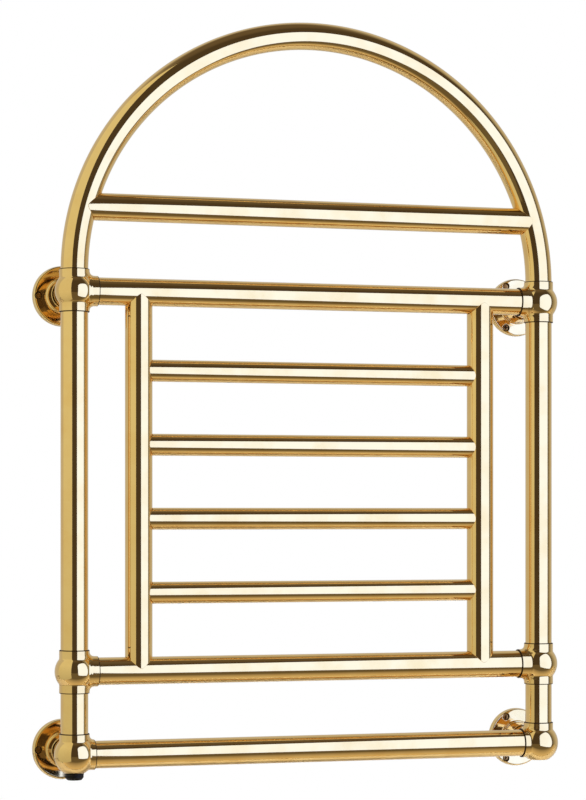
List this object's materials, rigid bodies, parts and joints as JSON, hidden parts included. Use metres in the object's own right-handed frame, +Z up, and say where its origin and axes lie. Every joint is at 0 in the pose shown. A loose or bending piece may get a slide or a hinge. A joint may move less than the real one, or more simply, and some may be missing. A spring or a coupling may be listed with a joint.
{
  "type": "towel warmer rack",
  "caption": "Wall-hung arched towel warmer: a ladder of polished brass tube on ball joints, with wall flanges and an electric element gland.",
  "frame": {"origin": "on the wall plane, midway between the centres of the two lower wall flanges", "axes": "+Z up the wall, +Y into the wall, -Y to the front of the rack, +X to the right as seen from the front"},
  "size_m": [0.7064, 0.112, 0.9818],
  "materials": {
    "tube_brass": "mirror polished, lacquered",
    "fitting_brass": "mirror polished casting",
    "flange_brass": "mirror polished, turned",
    "screw_brass": "bright brass, cross recess",
    "plug_brass": "machined brass",
    "dark_steel": "blackened steel",
    "nickel_sheath": "satin nickel",
    "seal_rubber": "matte rubber",
    "black_plastic": "moulded black plastic, slight sheen"
  },
  "bodies": {
    "root": {"arch_bar": "tube_brass", "arch_tube": "tube_brass", "ball_joint_corner_left": "fitting_brass", "ball_joint_corner_right": "fitting_brass", "ball_joint_middle_left": "fitting_brass", "ball_joint_middle_right": "fitting_brass", "ball_joint_upper_left": "fitting_brass", "ball_joint_upper_right": "fitting_brass", "blanking_plug": "plug_brass", "blanking_seal": "seal_rubber", "bottom_rail": "tube_brass", "cable_gland": "black_plastic", "element_plug": "plug_brass", "element_seal": "seal_rubber", "grub_screw_lower_left": "dark_steel", "grub_screw_lower_right": "dark_steel", "grub_screw_upper_left": "dark_steel", "grub_screw_upper_right": "dark_steel", "heating_rod": "nickel_sheath", "lower_rail": "tube_brass", "post_left": "tube_brass", "post_right": "tube_brass", "rung_1": "tube_brass", "rung_2": "tube_brass", "rung_3": "tube_brass", "rung_4": "tube_brass", "stile_lower_left": "tube_brass", "stile_lower_right": "tube_brass", "stile_upper_left": "tube_brass", "stile_upper_right": "tube_brass", "upper_rail": "tube_brass", "wall_flange_lower_left": "flange_brass", "wall_flange_lower_right": "flange_brass", "wall_flange_upper_left": "flange_brass", "wall_flange_upper_right": "flange_brass", "wall_screw_lower_left_1": "screw_brass", "wall_screw_lower_left_2": "screw_brass", "wall_screw_lower_left_3": "screw_brass", "wall_screw_lower_right_1": "screw_brass", "wall_screw_lower_right_2": "screw_brass", "wall_screw_lower_right_3": "screw_brass", "wall_screw_upper_left_1": "screw_brass", "wall_screw_upper_left_2": "screw_brass", "wall_screw_upper_left_3": "screw_brass", "wall_screw_upper_right_1": "screw_brass", "wall_screw_upper_right_2": "screw_brass", "wall_screw_upper_right_3": "screw_brass", "wall_stem_lower_left": "fitting_brass", "wall_stem_lower_right": "fitting_brass", "wall_stem_upper_left": "fitting_brass", "wall_stem_upper_right": "fitting_brass"}
  },
  "joints": []
}
